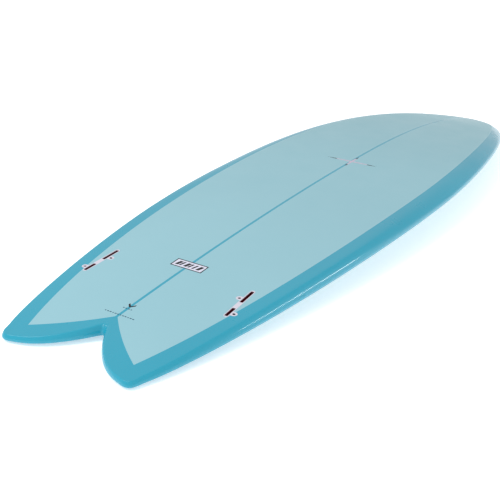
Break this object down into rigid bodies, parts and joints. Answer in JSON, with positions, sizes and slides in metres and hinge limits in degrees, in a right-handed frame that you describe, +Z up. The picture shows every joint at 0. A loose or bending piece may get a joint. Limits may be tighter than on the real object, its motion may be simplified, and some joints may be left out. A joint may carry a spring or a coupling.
{
  "type": "shortboard surfboard",
  "caption": "Fish surfboard lying deck down: swallow tail, rounded nose, pale panels in a teal rail band, empty fin boxes, leash plug and vent.",
  "frame": {"origin": "centre of the bounding box in plan, at the lowest point of the nose and tail tips that the board rests on, deck down", "axes": "+X across the board to one rail, +Y from tail to nose, +Z up, out of the bottom skin"},
  "size_m": [0.5241, 1.7735, 0.1028],
  "materials": {
    "pale_skin": "gloss, pale blue sanding-smooth lacquer",
    "teal_rail": "gloss, teal lacquer",
    "core_foam": "white closed-cell foam",
    "dense_foam": "cream high-density foam",
    "stringer_wood": "sawn poplar",
    "box_plastic": "satin white",
    "red_foam": "matte red foam",
    "screw_steel": "dark stainless",
    "pin_steel": "polished stainless",
    "cup_plastic": "satin white",
    "vent_plastic": "satin white",
    "vent_cap": "black",
    "seal_rubber": "black",
    "print_white": "gloss print",
    "print_dark": "gloss print",
    "print_rose": "gloss print",
    "print_grey": "gloss print"
  },
  "bodies": {
    "board": {"bottom_line": "teal_rail", "bottom_skin": "pale_skin", "core_left": "core_foam", "core_right": "core_foam", "deck_line": "teal_rail", "deck_skin": "pale_skin", "fin_block_left": "dense_foam", "fin_block_right": "dense_foam", "fin_box_left": "box_plastic", "fin_box_right": "box_plastic", "fin_pad_front_left": "red_foam", "fin_pad_front_right": "red_foam", "fin_pad_rear_left": "red_foam", "fin_pad_rear_right": "red_foam", "label_bars": "print_dark", "label_border": "print_dark", "label_field": "print_white", "leash_bar": "pin_steel", "leash_block": "dense_foam", "leash_cup": "cup_plastic", "print_dashes": "print_grey", "rail_band": "teal_rail", "star": "print_rose", "star_tips": "print_dark", "stringer": "stringer_wood", "tail_chevron": "print_dark", "vent_block": "dense_foam", "vent_body": "vent_plastic"},
    "fin_screw_front_left_body": {"fin_screw_front_left": "screw_steel"},
    "fin_screw_front_right_body": {"fin_screw_front_right": "screw_steel"},
    "fin_screw_rear_left_body": {"fin_screw_rear_left": "screw_steel"},
    "fin_screw_rear_right_body": {"fin_screw_rear_right": "screw_steel"},
    "vent_plug": {"vent_screw": "vent_cap", "vent_ring": "seal_rubber"}
  },
  "joints": [
    {"name": "fin_screw_front_left_travel", "type": "slide", "parent": "board", "child": "fin_screw_front_left_body", "axis": [0.5231, -0.1119, 0.8449], "range_m": [-0.0025, 0.003]},
    {"name": "fin_screw_front_right_travel", "type": "slide", "parent": "board", "child": "fin_screw_front_right_body", "axis": [-0.5231, -0.1119, 0.8449], "range_m": [-0.0025, 0.003]},
    {"name": "fin_screw_rear_left_travel", "type": "slide", "parent": "board", "child": "fin_screw_rear_left_body", "axis": [-0.5358, -0.0675, 0.8416], "range_m": [-0.0025, 0.003]},
    {"name": "fin_screw_rear_right_travel", "type": "slide", "parent": "board", "child": "fin_screw_rear_right_body", "axis": [0.5358, -0.0675, 0.8416], "range_m": [-0.0025, 0.003]},
    {"name": "vent_screw_travel", "type": "slide", "parent": "board", "child": "vent_plug", "axis": [0.03, 0.0006, -0.9995], "range_m": [0, 0.006]}
  ]
}
